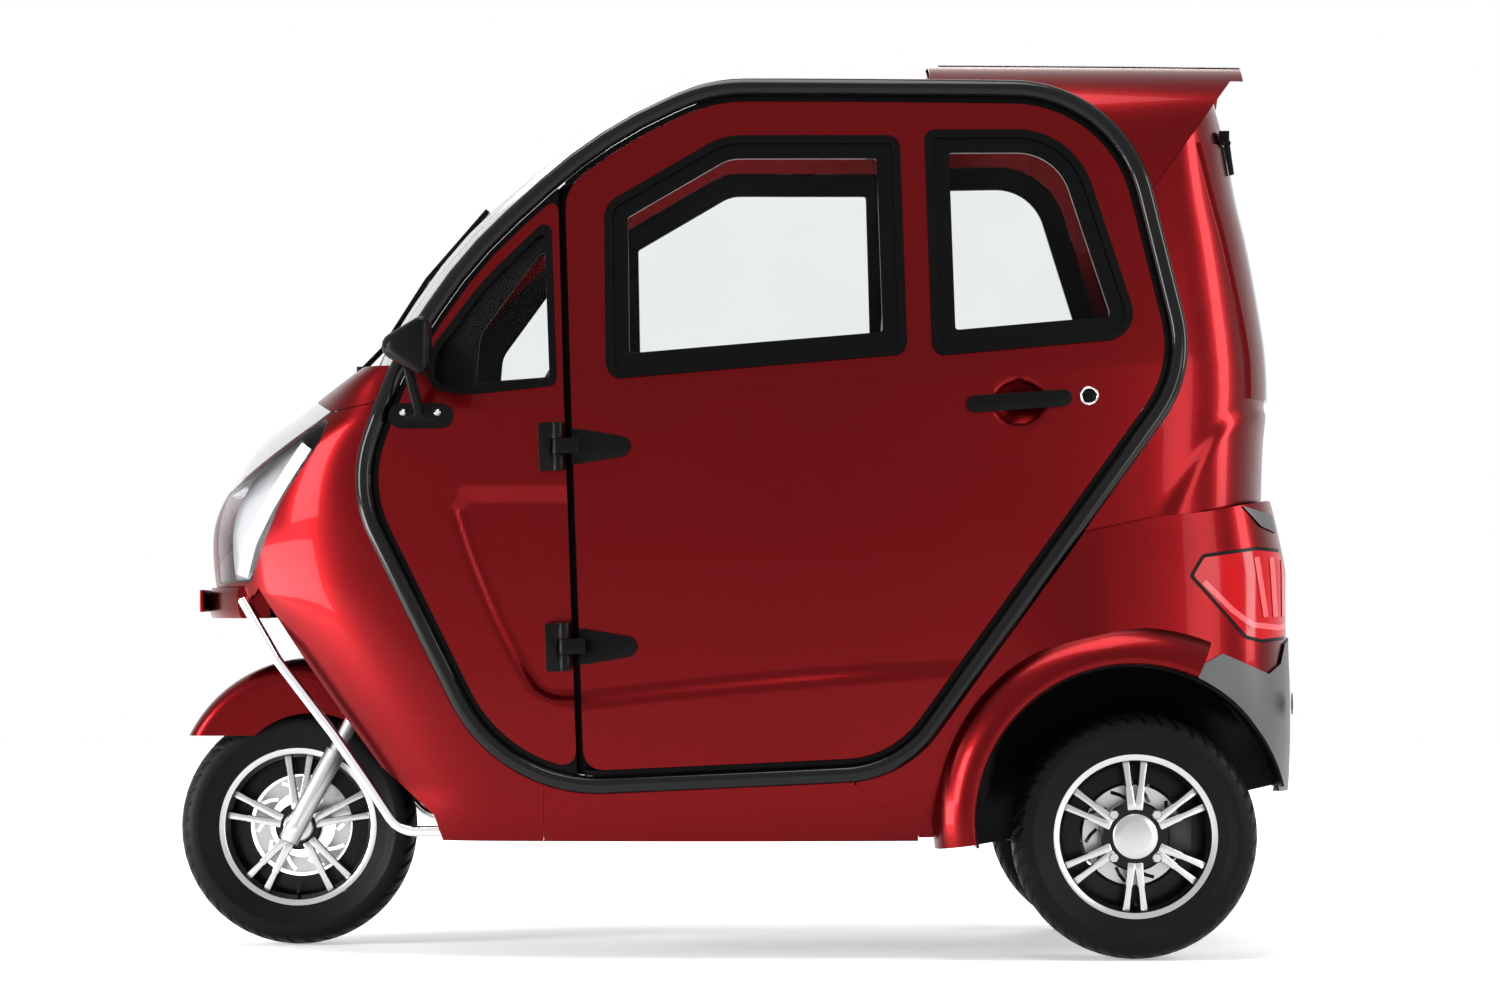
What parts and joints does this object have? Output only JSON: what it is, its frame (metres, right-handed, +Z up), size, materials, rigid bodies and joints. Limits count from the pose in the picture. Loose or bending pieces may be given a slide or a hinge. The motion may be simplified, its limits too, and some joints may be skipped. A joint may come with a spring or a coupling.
{
  "type": "electric three-wheeled cabin scooter",
  "caption": "Enclosed electric three-wheeled cabin scooter with one steered front wheel, two side doors inside tubular hoops and a glass rear hatch.",
  "frame": {"origin": "on the ground under the middle of the object's box", "axes": "+X from the front to the rear, +Y to the vehicle's right, +Z up"},
  "size_m": [2.2, 1.2672, 1.744],
  "materials": {
    "painted": "gloss candy red",
    "black_paint": "gloss black",
    "rubber": "matt",
    "glass": "clear",
    "silver_plastic": "silver gloss",
    "lamp_clear": "clear lens",
    "lamp_red": "red lens",
    "chrome": "polished",
    "grey_plastic": "grained",
    "black_plastic": "satin",
    "seat_cover": "black leatherette",
    "alloy": "machined and black",
    "tyre": "black rubber"
  },
  "bodies": {
    "body": {"chassis": "black_paint", "floor_pan": "black_plastic", "front_fascia": "painted", "hood_garnish": "silver_plastic", "headlamps": "lamp_clear", "front_lip": "painted", "crash_bars": "chrome", "sills": "painted", "side_hoops": "black_paint", "front_quarters": "painted", "quarter_seals": "rubber", "quarter_glass": "glass", "windscreen": "glass", "roof_panel": "painted", "roof_spoiler": "painted", "tail_panels": "painted", "rear_body": "painted", "tail_lamps": "lamp_red", "bumpers": "grey_plastic", "wheel_houses": "black_plastic", "mirrors": "black_plastic", "wiper": "black_plastic", "dashboard": "black_plastic", "driver_seat": "seat_cover", "rear_seat": "seat_cover", "battery_box": "black_plastic", "rear_axle": "black_paint", "hinge_bases": "black_plastic"},
    "steering": {"fork": "alloy", "front_fender": "painted", "handlebar": "black_plastic"},
    "front_wheel": {"front_tyre": "tyre", "front_rim": "alloy"},
    "rear_wheel_left": {"rear_tyre_left": "tyre", "rear_rim_left": "alloy"},
    "rear_wheel_right": {"rear_tyre_right": "tyre", "rear_rim_right": "alloy"},
    "left_door": {"door_left": "painted", "door_left_frames": "rubber", "door_left_glass": "glass", "door_left_fittings": "black_plastic"},
    "right_door": {"door_right": "painted", "door_right_frames": "rubber", "door_right_glass": "glass", "door_right_fittings": "black_plastic"},
    "hatch": {"hatch_glass": "glass", "hatch_fittings": "black_plastic"}
  },
  "joints": [
    {"name": "steering", "type": "hinge", "parent": "body", "child": "steering", "pos_m": [-0.82868, 0, 0.21722], "axis": [0.4695, 0, 0.8829], "range_deg": [-35, 35]},
    {"name": "front_wheel_spin", "type": "hinge", "parent": "steering", "child": "front_wheel", "pos_m": [-0.864, 0, 0.236], "axis": [0, 1, 0], "continuous": true},
    {"name": "rear_left_spin", "type": "hinge", "parent": "body", "child": "rear_wheel_left", "pos_m": [0.773, -0.42, 0.236], "axis": [0, 1, 0], "continuous": true},
    {"name": "rear_right_spin", "type": "hinge", "parent": "body", "child": "rear_wheel_right", "pos_m": [0.773, 0.42, 0.236], "axis": [0, 1, 0], "continuous": true},
    {"name": "left_door_hinge", "type": "hinge", "parent": "body", "child": "left_door", "pos_m": [-0.3287, -0.4959, 0.98], "axis": [0.0347, 0, -0.9994], "range_deg": [0, 70]},
    {"name": "right_door_hinge", "type": "hinge", "parent": "body", "child": "right_door", "pos_m": [-0.3287, 0.4959, 0.98], "axis": [-0.0347, 0, 0.9994], "range_deg": [0, 70]},
    {"name": "hatch_hinge", "type": "hinge", "parent": "body", "child": "hatch", "pos_m": [0.97088, 0, 1.58], "axis": [0, -1, 0], "range_deg": [0, 65]}
  ]
}
